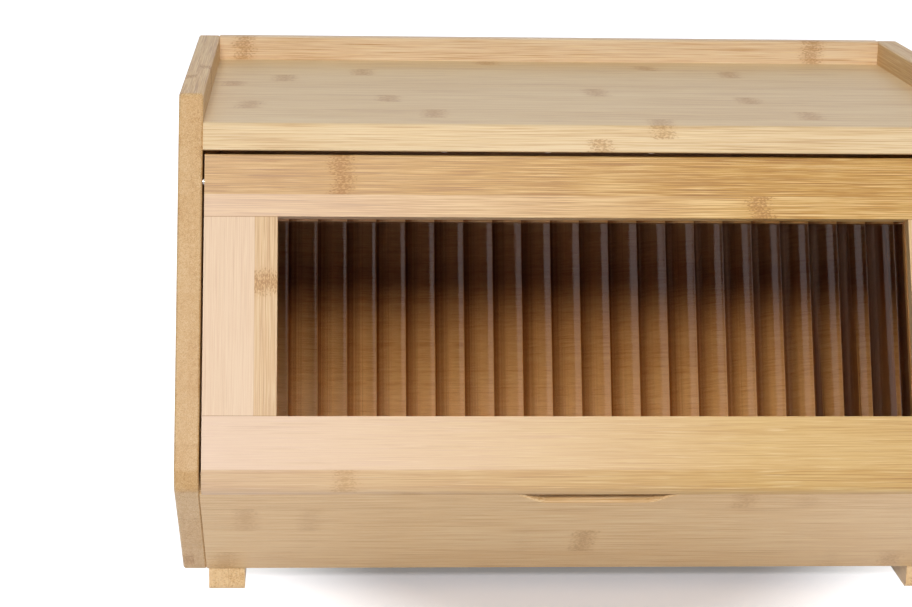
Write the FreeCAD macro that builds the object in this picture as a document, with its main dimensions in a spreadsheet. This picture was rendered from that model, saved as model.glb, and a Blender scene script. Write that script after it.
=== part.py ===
import FreeCAD, Part
import math
import os
import Sketcher

# A laminated bamboo bread box. Two shaped side panels carry a top board let down to make a tray,
# a back panel, a bottom board and a leaning front apron. Above the apron hangs a framed door with
# a reeded clear window, which swings up on two steel pins.
# The frame: +X to the box's left as one looks out of it, the front faces -Y, +Z up, and the origin
# lies on the floor below the middle of the box.

doc = FreeCAD.newDocument("BreadBox")

# ---------------------------------------------------------------- driving sizes, mm and degrees
SIZES = [
    ("boxWidth", 400, "over the side panels"),
    ("boxDepth", 280, "from the nose to the back"),
    ("boxHeight", 252.5, "with the feet"),
    ("boardThickness", 11.7, "sides, bottom, apron and door frame"),
    ("topThickness", 12.5, "top board"),
    ("backThickness", 8, "back panel"),
    ("trayDepth", 13, "how far the top board lies below the rim"),
    ("frontTilt", 25, "the door leans back by this"),
    ("undercutTilt", 46, "the apron leans forward by this"),
    ("noseHeight", 84, "the nose's centre above the floor; the boards are set out about it"),
    ("noseReach", 14.5, "from the nose's centre out to each of its three faces"),
    ("noseEase", 5, "rounding between the nose's faces"),
    ("cornerRadius", 4, "corners of the side panels"),
    ("easedEdge", 0.8, "bevel of the edges one touches"),
    ("footHeight", 12, ""),
    ("footWidth", 18, ""),
    ("footLength", 32, ""),
    ("footSetback", 1, "front foot behind the apron's lower edge, foot from the side panel"),
    ("footRound", 3, "lower front edge of a foot"),
    ("doorTopGap", 1.4, "door to top board"),
    ("doorSideGap", 1, "door to each side panel"),
    ("doorSeatGap", 0.3, "closed door to the apron that it rests on"),
    ("topRailHeight", 30.5, ""),
    ("bottomRailHeight", 23, "from the nose's centre up to the window's edge"),
    ("stileWidth", 35, ""),
    ("apronReach", 1.5, "how far the apron runs up past the nose's centre"),
    ("pinDrop", 12.5, "pin centre below the door's top edge"),
    ("pinDiameter", 4, ""),
    ("pinRunningFit", 0.08, "radial clearance of a pin in the door"),
    ("pinPressFit", 0, "radial clearance of a pin in the side panel"),
    ("pinInSide", 8, "length of a pin in the side panel"),
    ("pinInDoor", 11, "length of a pin in the door's top rail"),
    ("boreRelief", 0.5, "every blind bore is deeper than its pin or dowel by this"),
    ("dowelDiameter", 6, "carcass dowels"),
    ("dowelInSide", 7, ""),
    ("dowelInBoard", 14, ""),
    ("slimDowel", 5, "diameter of the dowels in the door and the back"),
    ("slimInSide", 6, "back dowels in the side panel"),
    ("slimInBack", 10, "back dowels in the back panel"),
    ("slimInRail", 10, "door dowels in a rail and in a stile"),
    ("glueGap", 0.05, "radial room for glue round a dowel"),
    ("topDowelFront", 130, "front dowels ahead of the back face, top board"),
    ("bottomDowelFront", 140, "front dowels ahead of the back face, bottom board"),
    ("dowelBack", 40, "rear dowels ahead of the back face"),
    ("apronDowelDrop", 30, "dowel below the nose's centre, along the apron"),
    ("backDowelLow", 60, "lower back dowels above the floor"),
    ("backDowelStep", 130, "between the back dowels of one end"),
    ("panelThickness", 3, "window panel over its reeds"),
    ("reedHeight", 1, "of the panel's thickness, the reeds' share"),
    ("reedPitch", 14.5, ""),
    ("reedRoot", 0.5, "how deep a reed is set into the sheet behind it"),
    ("panelRecess", 6, "panel's face behind the door's face"),
    ("grooveDepth", 5, "groove in the frame that holds the panel"),
    ("grooveFit", 0.1, "room on each face of the panel in its groove"),
    ("grooveEndRoom", 0.6, "room past the panel's edges in its groove"),
    ("scoopLength", 75, "finger scoop at the apron's top"),
    ("scoopDepth", 8.6, ""),
    ("scoopRadius", 11, "curved ends of the scoop"),
    ("ventDiameter", 12, "air holes in the back"),
    ("ventSpacing", 60, ""),
    ("ventCount", 3, ""),
    ("ventDrop", 60, "air holes below the rim"),
]
sheet = doc.addObject("Spreadsheet::Sheet", "Dims")
for row, (alias, size, note) in enumerate(SIZES, 1):
    sheet.set("A%d" % row, alias)
    sheet.set("B%d" % row, str(size))
    sheet.set("C%d" % row, note)
    sheet.setAlias("B%d" % row, alias)
doc.recompute()


def sized(text):
    # {name} in an expression stands for that cell of the sheet
    return text.replace("{", "Dims.").replace("}", "")


def value(text):
    return float(sheet.evalExpression(sized(text)))


# ---------------------------------------------------------------- places that many pieces share
# Height and place of the nose's centre, about which the leaning boards are set out
NOSE_Y = "(-{boxDepth} / 2 + {noseReach})"
NOSE_Z = "{noseHeight}"
# The nose's upright face, between the leaning front and the undercut
FRONT = "(-{boxDepth} / 2)"
NOSE_TOP = "(%s + {noseReach} * tan({frontTilt} / 2))" % NOSE_Z
NOSE_LOW = "(%s - {noseReach} * tan({undercutTilt} / 2))" % NOSE_Z
BACK = "({boxDepth} / 2)"
BACK_FACE = "({boxDepth} / 2 - {backThickness})"
INNER = "({boxWidth} / 2 - {boardThickness})"
TRAY = "({boxHeight} - {trayDepth})"
TOP_UNDER = "(%s - {topThickness})" % TRAY
DOOR_TOP = "(%s - {doorTopGap})" % TOP_UNDER
FLOOR_TOP = "({footHeight} + {boardThickness})"


def frontLine(height):
    # Y of the front's leaning face at a height above the nose
    rise = "(%s - %s - {noseReach} * sin({frontTilt}))" % (height, NOSE_Z)
    return "(%s - {noseReach} * cos({frontTilt}) + %s * tan({frontTilt}))" % (NOSE_Y, rise)


def underLine(height, inward="0"):
    # Y of the undercut face at a height below the nose, or of a face that far behind it
    reach = "({noseReach} - %s)" % inward
    drop = "(%s - %s * sin({undercutTilt}) - %s)" % (NOSE_Z, reach, height)
    return "(%s - %s * cos({undercutTilt}) + %s * tan({undercutTilt}))" % (NOSE_Y, reach, drop)


# Distances along the door's board, up from the nose's centre
DOOR_END = "((%s - %s - {noseReach} * sin({frontTilt})) / cos({frontTilt}))" % (DOOR_TOP, NOSE_Z)
WINDOW_TOP = "(%s - {topRailHeight})" % DOOR_END
WINDOW_LOW = "{bottomRailHeight}"
PIN_ALONG = "(%s - {pinDrop})" % DOOR_END
PIN_BEHIND = "({noseReach} - {boardThickness} / 2)"
PIN_Y = "(%s + %s * sin({frontTilt}) - %s * cos({frontTilt}))" % (NOSE_Y, PIN_ALONG, PIN_BEHIND)
PIN_Z = "(%s + %s * cos({frontTilt}) + %s * sin({frontTilt}))" % (NOSE_Z, PIN_ALONG, PIN_BEHIND)
DOOR_HALF = "(%s - {doorSideGap})" % INNER
STILE_IN = "(%s - {stileWidth})" % DOOR_HALF
# In a leaning board's own frame its outer face lies at -noseReach and its inner face here
BOARD_BACK = "({boardThickness} - {noseReach})"
BOARD_MIDDLE = "({boardThickness} / 2 - {noseReach})"
GROOVE_FRONT = "({panelRecess} - {grooveFit} - {noseReach})"
GROOVE_WIDTH = "({panelThickness} + 2 * {grooveFit})"


# ---------------------------------------------------------------- helpers
def makeBody(name):
    body = doc.addObject("PartDesign::Body", name)
    body.Label = name
    return body


def plane(body, role):
    return next(item for item in body.Origin.OriginFeatures if item.Role == role)


def makeSketch(body, name, role, offset="0"):
    # a sketch on one of the body's own origin planes, moved off it along its normal
    sketch = body.newObject("Sketcher::SketchObject", name)
    sketch.AttachmentSupport = (plane(body, role), [""])
    sketch.MapMode = "FlatFace"
    if offset != "0":
        sketch.setExpression("AttachmentOffset.Base.z", sized(offset))
    return sketch


def fix(sketch, kind, geometry, point, text, label):
    # ties one coordinate of a point to an expression
    index = sketch.addConstraint(Sketcher.Constraint(kind, -1, 1, geometry, point, value(text)))
    sketch.renameConstraint(index, label)
    sketch.setExpression("Constraints." + label, sized(text))


def drawOutline(sketch, corners, arcs=()):
    # A closed outline, anticlockwise, whose corners are pairs of expressions. An arc given as
    # (corner, centre across, centre up) leaves that corner; the corner it reaches is held in one
    # coordinate, and the arc gives the other.
    points = [FreeCAD.Vector(value(across), value(up), 0) for across, up in corners]
    arcAt = {start: (across, up) for start, across, up in arcs}
    count = len(corners)
    for index, start in enumerate(points):
        end = points[(index + 1) % count]
        if index not in arcAt:
            sketch.addGeometry(Part.LineSegment(start, end), False)
            continue
        middle = FreeCAD.Vector(value(arcAt[index][0]), value(arcAt[index][1]), 0)
        angles = [math.atan2(p.y - middle.y, p.x - middle.x) for p in (start, end)]
        circle = Part.Circle(middle, FreeCAD.Vector(0, 0, 1), (start - middle).Length)
        sketch.addGeometry(Part.ArcOfCircle(circle, angles[0], angles[1]), False)
    for index in range(count):
        after = (index + 1) % count
        sketch.addConstraint(Sketcher.Constraint("Coincident", index, 2, after, 1))
    for index, (across, up) in enumerate(corners):
        fix(sketch, "DistanceX", index, 1, across, "across%d" % index)
        if (index - 1) % count not in arcAt:
            fix(sketch, "DistanceY", index, 1, up, "up%d" % index)
    for index, (across, up) in arcAt.items():
        fix(sketch, "DistanceX", index, 3, across, "centreAcross%d" % index)
        fix(sketch, "DistanceY", index, 3, up, "centreUp%d" % index)


def drawCircle(sketch, across, up, diameter, label):
    centre = FreeCAD.Vector(value(across), value(up), 0)
    circle = Part.Circle(centre, FreeCAD.Vector(0, 0, 1), value(diameter) / 2)
    index = sketch.addGeometry(circle, False)
    fix(sketch, "DistanceX", index, 3, across, "across" + label)
    fix(sketch, "DistanceY", index, 3, up, "up" + label)
    size = sketch.addConstraint(Sketcher.Constraint("Diameter", index, value(diameter)))
    sketch.renameConstraint(size, "diameter" + label)
    sketch.setExpression("Constraints.diameter" + label, sized(diameter))


def rectangle(left, low, right, high):
    return [(left, low), (right, low), (right, high), (left, high)]


def pad(body, sketch, length):
    feature = body.newObject("PartDesign::Pad", body.Name + "_pad")
    feature.Profile = sketch
    feature.setExpression("Length", sized(length))
    sketch.Visibility = False
    doc.recompute()
    return feature


def cut(body, sketch, depth, reverse=False):
    # a pocket that must take material away
    before = body.Shape.Volume
    feature = body.newObject("PartDesign::Pocket", body.Name + "_pocket")
    feature.Profile = sketch
    feature.setExpression("Length", sized(depth))
    feature.Reversed = reverse
    doc.recompute()
    if not body.Shape.Volume < before - 0.01:
        raise RuntimeError("%s: a pocket cuts nothing" % body.Label)
    return feature


def edgesWhere(shape, test):
    return ["Edge%d" % number for number, edge in enumerate(shape.Edges, 1) if test(edge)]


def dressEdges(body, kind, size, test):
    # a Fillet or a Chamfer on every edge that passes the test
    names = edgesWhere(body.Shape, test)
    if not names:
        raise RuntimeError("%s: no edge to dress" % body.Label)
    carrier = body.Tip
    feature = body.newObject("PartDesign::" + kind, body.Name + "_" + kind.lower())
    feature.Base = (carrier, names)
    feature.setExpression("Radius" if kind == "Fillet" else "Size", sized(size))
    doc.recompute()
    if "Invalid" in feature.State:
        raise RuntimeError("%s: %s of %d edges fails" % (body.Label, kind, len(names)))


def near(first, second, room=0.01):
    return abs(first - second) < room


def alongX(edge):
    ends = [vertex.Point for vertex in edge.Vertexes]
    return len(ends) == 2 and near(ends[0].y, ends[1].y) and near(ends[0].z, ends[1].z)


def edgeAt(across, up):
    # tests for a long edge along X through that place
    y, z = value(across), value(up)
    return lambda edge: (alongX(edge) and near(edge.Vertexes[0].Y, y, 0.05)
                         and near(edge.Vertexes[0].Z, z, 0.05))


def lean(piece, tilt):
    # sets a board drawn upright about the nose's centre at its lean
    piece.setExpression("Placement.Base.y", sized(NOSE_Y))
    piece.setExpression("Placement.Base.z", sized(NOSE_Z))
    piece.Placement.Rotation = FreeCAD.Rotation(FreeCAD.Vector(1, 0, 0), value(tilt))
    piece.setExpression("Placement.Rotation.Angle", sized(tilt))


DOOR_LEAN = "-{frontTilt}"
APRON_LEAN = "{undercutTilt}"


def boreEnds(body, places, diameter, depth, half, label):
    # blind bores in both ends of a board that reaches to half on each side
    for side, end in (("-", "Left"), ("", "Right")):
        sketch = makeSketch(body, body.Name + "_" + label + end, "YZ_Plane", side + half)
        for number, (across, up) in enumerate(places):
            drawCircle(sketch, across, up, diameter, str(number))
        cut(body, sketch, depth, reverse=side == "-")


# ---------------------------------------------------------------- where the dowels go
TOP_MIDDLE = "(%s - {topThickness} / 2)" % TRAY
FLOOR_MIDDLE = "({footHeight} + {boardThickness} / 2)"
BACK_MIDDLE = "(%s - {backThickness} / 2)" % BACK
TOP_DOWELS = [("(%s - {topDowelFront})" % BACK, TOP_MIDDLE), ("(%s - {dowelBack})" % BACK, TOP_MIDDLE)]
FLOOR_DOWELS = [("(%s - {bottomDowelFront})" % BACK, FLOOR_MIDDLE),
                ("(%s - {dowelBack})" % BACK, FLOOR_MIDDLE)]
BACK_DOWELS = [(BACK_MIDDLE, "{backDowelLow}"), (BACK_MIDDLE, "({backDowelLow} + {backDowelStep})")]
APRON_DOWEL_LOCAL = (BOARD_MIDDLE, "(-{apronDowelDrop})")
APRON_DOWEL = ("(%s + %s * cos({undercutTilt}) + {apronDowelDrop} * sin({undercutTilt}))"
               % (NOSE_Y, BOARD_MIDDLE),
               "(%s + %s * sin({undercutTilt}) - {apronDowelDrop} * cos({undercutTilt}))"
               % (NOSE_Z, BOARD_MIDDLE))
DOWEL_BORE = "({dowelDiameter} + 2 * {glueGap})"
SLIM_BORE = "({slimDowel} + 2 * {glueGap})"


# ---------------------------------------------------------------- the carcass
def makeSide(name, left):
    # one shaped side panel, with the bores for its dowels and its hinge pin
    body = makeBody(name)
    face = ("-" if left else "") + INNER
    sketch = makeSketch(body, name + "_outline", "YZ_Plane",
                        "-{boxWidth} / 2" if left else INNER)
    corners = [(underLine("{footHeight}"), "{footHeight}"), (BACK, "{footHeight}"),
               (BACK, "{boxHeight}"), (frontLine("{boxHeight}"), "{boxHeight}"),
               (FRONT, NOSE_TOP), (FRONT, NOSE_LOW)]
    drawOutline(sketch, corners)
    pad(body, sketch, "{boardThickness}")
    nose = [edgeAt(*corner) for corner in corners[4:]]
    dressEdges(body, "Fillet", "{noseEase}", lambda edge: any(test(edge) for test in nose))
    outer = [edgeAt(*corner) for corner in corners[:4]]
    dressEdges(body, "Fillet", "{cornerRadius}", lambda edge: any(test(edge) for test in outer))
    dressEdges(body, "Chamfer", "{easedEdge}", lambda edge: not alongX(edge))
    wide = makeSketch(body, name + "_dowelBores", "YZ_Plane", face)
    for number, (across, up) in enumerate(TOP_DOWELS + FLOOR_DOWELS + [APRON_DOWEL]):
        drawCircle(wide, across, up, DOWEL_BORE, str(number))
    cut(body, wide, "{dowelInSide} + {boreRelief}", reverse=not left)
    slim = makeSketch(body, name + "_slimBores", "YZ_Plane", face)
    for number, (across, up) in enumerate(BACK_DOWELS):
        drawCircle(slim, across, up, SLIM_BORE, str(number))
    cut(body, slim, "{slimInSide} + {boreRelief}", reverse=not left)
    pin = makeSketch(body, name + "_pinBore", "YZ_Plane", face)
    drawCircle(pin, PIN_Y, PIN_Z, "{pinDiameter} + 2 * {pinPressFit}", "Pin")
    cut(body, pin, "{pinInSide} + {boreRelief}", reverse=not left)
    return body


def makeTop():
    # the top board, flush with the leaning front
    body = makeBody("top_board")
    sketch = makeSketch(body, "top_outline", "YZ_Plane", "-" + INNER)
    corners = [(frontLine(TOP_UNDER), TOP_UNDER), (BACK_FACE, TOP_UNDER),
               (BACK_FACE, TRAY), (frontLine(TRAY), TRAY)]
    drawOutline(sketch, corners)
    pad(body, sketch, "2 * " + INNER)
    front = [edgeAt(*corners[0]), edgeAt(*corners[3])]
    dressEdges(body, "Chamfer", "{easedEdge}", lambda edge: any(test(edge) for test in front))
    boreEnds(body, TOP_DOWELS, DOWEL_BORE, "{dowelInBoard} + {boreRelief}", INNER, "bores")
    return body


def makeBack():
    # the thin back panel, with a row of air holes
    body = makeBody("back_panel")
    sketch = makeSketch(body, "back_outline", "YZ_Plane", "-" + INNER)
    corners = rectangle(BACK_FACE, "{footHeight}", BACK, "{boxHeight}")
    drawOutline(sketch, corners)
    pad(body, sketch, "2 * " + INNER)
    rim = [edgeAt(*corners[2]), edgeAt(*corners[3])]
    dressEdges(body, "Chamfer", "{easedEdge}", lambda edge: any(test(edge) for test in rim))
    boreEnds(body, BACK_DOWELS, SLIM_BORE, "{slimInBack} + {boreRelief}", INNER, "bores")
    holes = makeSketch(body, "back_vents", "XZ_Plane", "-%s - 1" % BACK)
    first = "(-({ventCount} - 1) / 2 * {ventSpacing})"
    drawCircle(holes, first, "{boxHeight} - {ventDrop}", "{ventDiameter}", "Vent")
    hole = cut(body, holes, "{backThickness} + 2", reverse=True)
    row = body.newObject("PartDesign::LinearPattern", "vent_row")
    row.Originals = [hole]
    row.Direction = (holes, ["H_Axis"])
    row.setExpression("Length", sized("({ventCount} - 1) * {ventSpacing}"))
    row.setExpression("Occurrences", sized("{ventCount}"))
    body.Tip = row
    doc.recompute()
    return body


def makeBottom():
    # the bottom board, bevelled where it meets the leaning apron
    body = makeBody("bottom_board")
    sketch = makeSketch(body, "bottom_outline", "YZ_Plane", "-" + INNER)
    low, high = "{footHeight}", FLOOR_TOP
    corners = [(underLine(low, "{boardThickness}"), low), (BACK_FACE, low),
               (BACK_FACE, high), (underLine(high, "{boardThickness}"), high)]
    drawOutline(sketch, corners)
    pad(body, sketch, "2 * " + INNER)
    boreEnds(body, FLOOR_DOWELS, DOWEL_BORE, "{dowelInBoard} + {boreRelief}", INNER, "bores")
    return body


def makeApron():
    # the fixed leaning front, with the finger scoop in its upper edge
    body = makeBody("front_apron")
    sketch = makeSketch(body, "apron_outline", "YZ_Plane", "-" + INNER)
    outer, inner = "-{noseReach}", BOARD_BACK
    foot = "(({footHeight} - %s + %s * sin({undercutTilt})) / cos({undercutTilt}))"
    corners = [(outer, foot % (NOSE_Z, "{noseReach}")),
               (inner, foot % (NOSE_Z, "({noseReach} - {boardThickness})")),
               (inner, "{apronReach}"), (outer, "{apronReach}")]
    drawOutline(sketch, corners)
    pad(body, sketch, "2 * " + INNER)
    dressEdges(body, "Chamfer", "{easedEdge}", edgeAt(*corners[0]))
    # the scoop: straight floor, ends turned up in quarter arcs that open at the board's edge
    scoop = makeSketch(body, "apron_scoop", "XZ_Plane", "{noseReach} + 1")
    end, floor = "({scoopLength} / 2)", "({apronReach} - {scoopDepth})"
    rim = "({apronReach} + 1)"
    flat = "({scoopLength} / 2 - {scoopRadius})"
    drawOutline(scoop, [("-" + flat, floor), (flat, floor), (end, "{apronReach}"), (end, rim),
                        ("-" + end, rim), ("-" + end, "{apronReach}")])
    cut(body, scoop, "{boardThickness} + 2")
    lip = value("-{noseReach}")
    low = value(floor)

    def atScoop(edge):
        ends = [vertex.Point for vertex in edge.Vertexes]
        return len(ends) == 2 and all(near(point.z, low) and near(abs(point.x), value(flat))
                                      for point in ends) and near(ends[0].x, ends[1].x)
    dressEdges(body, "Fillet", "{scoopRadius}", atScoop)
    dressEdges(body, "Chamfer", "{easedEdge}", lambda edge: all(near(v.Y, lip) and v.Z > low - 1
                                                     and abs(v.X) < value(INNER) - 1
                                                     for v in edge.Vertexes))
    boreEnds(body, [APRON_DOWEL_LOCAL], DOWEL_BORE, "{dowelInBoard} + {boreRelief}", INNER, "bores")
    lean(body, APRON_LEAN)
    doc.recompute()
    return body


FOOT_X = "(%s - {footSetback} - {footWidth} / 2)" % INNER
FOOT_FRONT = "(%s + {footSetback})" % underLine("{footHeight}")
FOOT_Y = {"front": "(%s + {footLength} / 2)" % FOOT_FRONT,
          "rear": "(%s - {footSetback} - {footLength} / 2)" % BACK}
FEET = [(end, side) for end in ("front", "rear") for side in ("left", "right")]


def footCentre(end, side):
    return ("-" + FOOT_X if side == "left" else FOOT_X), FOOT_Y[end]


def makeFoot(end, side):
    # a small glued block with its end grain to the front and its lower front edge rounded
    name = "foot_%s_%s" % (end, side)
    body = makeBody(name)
    x, y = footCentre(end, side)
    sketch = makeSketch(body, name + "_outline", "XY_Plane")
    halfX, halfY = "{footWidth} / 2", "{footLength} / 2"
    drawOutline(sketch, rectangle("-" + halfX, "-" + halfY, halfX, halfY))
    pad(body, sketch, "{footHeight}")
    dressEdges(body, "Fillet", "{footRound}", edgeAt("-" + halfY, "0"))
    body.setExpression("Placement.Base.x", sized(x))
    body.setExpression("Placement.Base.y", sized(y))
    doc.recompute()
    return body


# ---------------------------------------------------------------- the door
def drawGroove(body, name, left, low, right, high):
    # the groove that holds the window panel, cut as the slot which the panel's edges fill
    sketch = makeSketch(body, name, "XZ_Plane", "-" + GROOVE_FRONT)
    drawOutline(sketch, rectangle(left, low, right, high))
    cut(body, sketch, GROOVE_WIDTH)


def groovedArea(side, out):
    # one limit of the slot: past the window's opening by the groove's depth
    return "(%s %s {grooveDepth})" % (side, out)


SLOT_LEFT = groovedArea("-" + STILE_IN, "-")
SLOT_RIGHT = groovedArea(STILE_IN, "+")
SLOT_LOW = groovedArea(WINDOW_LOW, "-")
SLOT_HIGH = groovedArea(WINDOW_TOP, "+")
STILE_CENTRE = "(%s - {stileWidth} / 2)" % DOOR_HALF
DOOR_DOWELS = ["-" + STILE_CENTRE, STILE_CENTRE]


def boreAlong(body, name, height, xs, reverse):
    # dowel bores that start at a height of the door's board and run along it
    sketch = makeSketch(body, name, "XY_Plane", height)
    for number, x in enumerate(xs):
        drawCircle(sketch, x, BOARD_MIDDLE, SLIM_BORE, str(number))
    cut(body, sketch, "{slimInRail} + {boreRelief}", reverse=reverse)


def makeTopRail():
    body = makeBody("door_top_rail")
    sketch = makeSketch(body, "top_rail_outline", "YZ_Plane", "-" + DOOR_HALF)
    corners = rectangle("-{noseReach}", WINDOW_TOP, BOARD_BACK, DOOR_END)
    drawOutline(sketch, corners)
    pad(body, sketch, "2 * " + DOOR_HALF)
    upper = [edgeAt(*corners[2]), edgeAt(*corners[3])]
    dressEdges(body, "Chamfer", "{easedEdge}", lambda edge: any(test(edge) for test in upper))
    drawGroove(body, "top_rail_groove", SLOT_LEFT, WINDOW_TOP + " - 1", SLOT_RIGHT, SLOT_HIGH)
    boreAlong(body, "top_rail_dowels", WINDOW_TOP, DOOR_DOWELS, True)
    boreEnds(body, [(BOARD_MIDDLE, PIN_ALONG)], "({pinDiameter} + 2 * {pinRunningFit})",
             "{pinInDoor} + {boreRelief}", DOOR_HALF, "pinBore")
    lean(body, DOOR_LEAN)
    doc.recompute()
    return body


def makeBottomRail():
    # the lower rail carries the nose: below its leaning face come the upright face and a strip of
    # the undercut, and its underside is square to the apron, on whose edge the closed door rests
    body = makeBody("door_bottom_rail")
    sketch = makeSketch(body, "bottom_rail_outline", "YZ_Plane", "-" + DOOR_HALF)
    turn = "({frontTilt} + {undercutTilt})"

    def onUndercut(along):
        # a place on the undercut face, turned from the apron's frame into the door's
        return ("(-(%s * sin%s + {noseReach} * cos%s))" % (along, turn, turn),
                "(%s * cos%s - {noseReach} * sin%s)" % (along, turn, turn))

    seat = "({apronReach} + {doorSeatGap})"
    low = onUndercut("({noseReach} * tan({undercutTilt} / 2))")
    high = ("-{noseReach}", "(-{noseReach} * tan({frontTilt} / 2))")
    inner = (BOARD_BACK, "((%s + %s * sin%s) / cos%s)" % (seat, BOARD_BACK, turn, turn))
    corners = [(BOARD_BACK, WINDOW_LOW), ("-{noseReach}", WINDOW_LOW), high, low,
               onUndercut(seat), inner]
    drawOutline(sketch, corners)
    pad(body, sketch, "2 * " + DOOR_HALF)
    dressEdges(body, "Fillet", "{noseEase}", edgeAt(*high))
    dressEdges(body, "Fillet", "{noseEase}", edgeAt(*low))
    drawGroove(body, "bottom_rail_groove", SLOT_LEFT, SLOT_LOW, SLOT_RIGHT, WINDOW_LOW + " + 1")
    boreAlong(body, "bottom_rail_dowels", WINDOW_LOW, DOOR_DOWELS, False)
    lean(body, DOOR_LEAN)
    doc.recompute()
    return body


def makeStile(name, left):
    body = makeBody(name)
    start, end = ("-" + DOOR_HALF, "-" + STILE_IN) if left else (STILE_IN, DOOR_HALF)
    sketch = makeSketch(body, name + "_outline", "YZ_Plane", start)
    drawOutline(sketch, rectangle("-{noseReach}", WINDOW_LOW, BOARD_BACK, WINDOW_TOP))
    pad(body, sketch, "{stileWidth}")
    if left:
        drawGroove(body, name + "_groove", SLOT_LEFT, WINDOW_LOW + " - 1", end + " + 1",
                   WINDOW_TOP + " + 1")
    else:
        drawGroove(body, name + "_groove", start + " - 1", WINDOW_LOW + " - 1", SLOT_RIGHT,
                   WINDOW_TOP + " + 1")
    mine = DOOR_DOWELS[:1] if left else DOOR_DOWELS[1:]
    boreAlong(body, name + "_low", WINDOW_LOW, mine, True)
    boreAlong(body, name + "_high", WINDOW_TOP, mine, False)
    lean(body, DOOR_LEAN)
    doc.recompute()
    return body


def makeWindow():
    # a clear sheet with upright reeds on its face; each reed is an arc of one pitch in width
    body = makeBody("window_panel")
    low = "(%s + {grooveEndRoom})" % SLOT_LOW
    high = "(%s - {grooveEndRoom})" % SLOT_HIGH
    half = "(%s - {grooveEndRoom})" % SLOT_RIGHT
    front = "({panelRecess} - {noseReach})"
    flat = "(%s + {reedHeight})" % front
    rear = "(%s + {panelThickness})" % front
    sheetSketch = makeSketch(body, "window_sheet", "XY_Plane", low)
    drawOutline(sheetSketch, rectangle("-" + half, flat, half, rear))
    length = "%s - %s" % (high, low)
    pad(body, sheetSketch, length)
    count = "floor(2 * %s / {reedPitch})" % half
    start = "(-%s * {reedPitch} / 2)" % count
    end = "(%s + {reedPitch})" % start
    # radius of an arc as wide as a reed and as high as its rise
    radius = "(({reedPitch} * {reedPitch} / 4 + {reedHeight} * {reedHeight}) / (2 * {reedHeight}))"
    root = "(%s + {reedRoot})" % flat
    reed = makeSketch(body, "window_reed", "XY_Plane", low)
    drawOutline(reed, [(start, flat), (end, flat), (end, root), (start, root)],
                arcs=[(0, "(%s + {reedPitch} / 2)" % start, "(%s + %s)" % (front, radius))])
    first = pad(body, reed, length)
    row = body.newObject("PartDesign::LinearPattern", "reed_row")
    row.Originals = [first]
    row.Direction = (reed, ["H_Axis"])
    row.setExpression("Length", sized("(%s - 1) * {reedPitch}" % count))
    row.setExpression("Occurrences", sized(count))
    body.Tip = row
    lean(body, DOOR_LEAN)
    doc.recompute()
    return body


# ---------------------------------------------------------------- pins and dowels
def makeRod(name, diameter, length, centre, turn=None):
    # a cylinder whose middle lies at the centre; turn is the axis that it is turned about
    rod = doc.addObject("Part::Cylinder", name)
    rod.setExpression("Radius", sized(diameter + " / 2"))
    rod.setExpression("Height", sized(length))
    if turn == "y":
        rod.Placement.Rotation = FreeCAD.Rotation(FreeCAD.Vector(0, 1, 0), 90)
        start = (centre[0] + " - (%s) / 2" % length, centre[1], centre[2])
    else:
        start = (centre[0], centre[1], centre[2] + " - (%s) / 2" % length)
    for axis, text in zip("xyz", start):
        rod.setExpression("Placement.Base." + axis, sized(text))
    return rod


def group(name, members):
    bundle = doc.addObject("Part::Compound", name)
    bundle.Links = members
    doc.recompute()
    return bundle


def makePin(name, side):
    # a plain steel pin, pressed into the side panel and running in the door's top rail
    length = "({pinInSide} + {doorSideGap} + {pinInDoor})"
    centre = "(%s + {pinInSide} - %s / 2)" % (INNER, length)
    pin = makeRod(name + "_bar", "{pinDiameter}", length, (side + centre, PIN_Y, PIN_Z), "y")
    edges = [(number, value("{easedEdge}") / 2, value("{easedEdge}") / 2) for number in (1, 3)]
    doc.recompute()
    blunt = doc.addObject("Part::Chamfer", name)
    blunt.Base = pin
    blunt.Edges = edges
    return blunt


def makeCarcassDowels(name, side):
    length = "({dowelInSide} + {dowelInBoard})"
    centre = side + "(%s + {dowelInSide} - %s / 2)" % (INNER, length)
    places = TOP_DOWELS + FLOOR_DOWELS + [APRON_DOWEL]
    return group(name, [makeRod("%s_%d" % (name, number), "{dowelDiameter}", length,
                                (centre, y, z), "y") for number, (y, z) in enumerate(places)])


def makeBackDowels():
    length = "({slimInSide} + {slimInBack})"
    rods = []
    for side in ("-", ""):
        centre = side + "(%s + {slimInSide} - %s / 2)" % (INNER, length)
        for number, (y, z) in enumerate(BACK_DOWELS):
            name = "back_dowel_%d%s" % (number, "a" if side else "b")
            rods.append(makeRod(name, "{slimDowel}", length, (centre, y, z), "y"))
    return group("back_dowels", rods)


def makeDoorDowels():
    # one dowel across each joint between a stile and a rail, set out in the door's own frame
    rods = [makeRod("door_dowel_%d%d" % (row, number), "{slimDowel}", "(2 * {slimInRail})",
                    (x, BOARD_MIDDLE, height))
            for row, height in enumerate((WINDOW_LOW, WINDOW_TOP))
            for number, x in enumerate(DOOR_DOWELS)]
    bundle = group("door_dowels", rods)
    lean(bundle, DOOR_LEAN)
    doc.recompute()
    return bundle


# ---------------------------------------------------------------- the whole box
pieces = [makeSide("side_panel_left", True), makeSide("side_panel_right", False)]
pieces += [makeTop(), makeBack(), makeBottom(), makeApron()]
pieces += [makeFoot(end, side) for end, side in FEET]
pieces += [makeTopRail(), makeBottomRail(), makeStile("door_stile_left", True),
           makeStile("door_stile_right", False), makeWindow()]
pieces += [makePin("hinge_pin_left", "-"), makePin("hinge_pin_right", "")]
pieces += [makeCarcassDowels("carcass_dowels_left", "-"),
           makeCarcassDowels("carcass_dowels_right", "")]
pieces += [makeBackDowels(), makeDoorDowels()]
doc.recompute()

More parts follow.
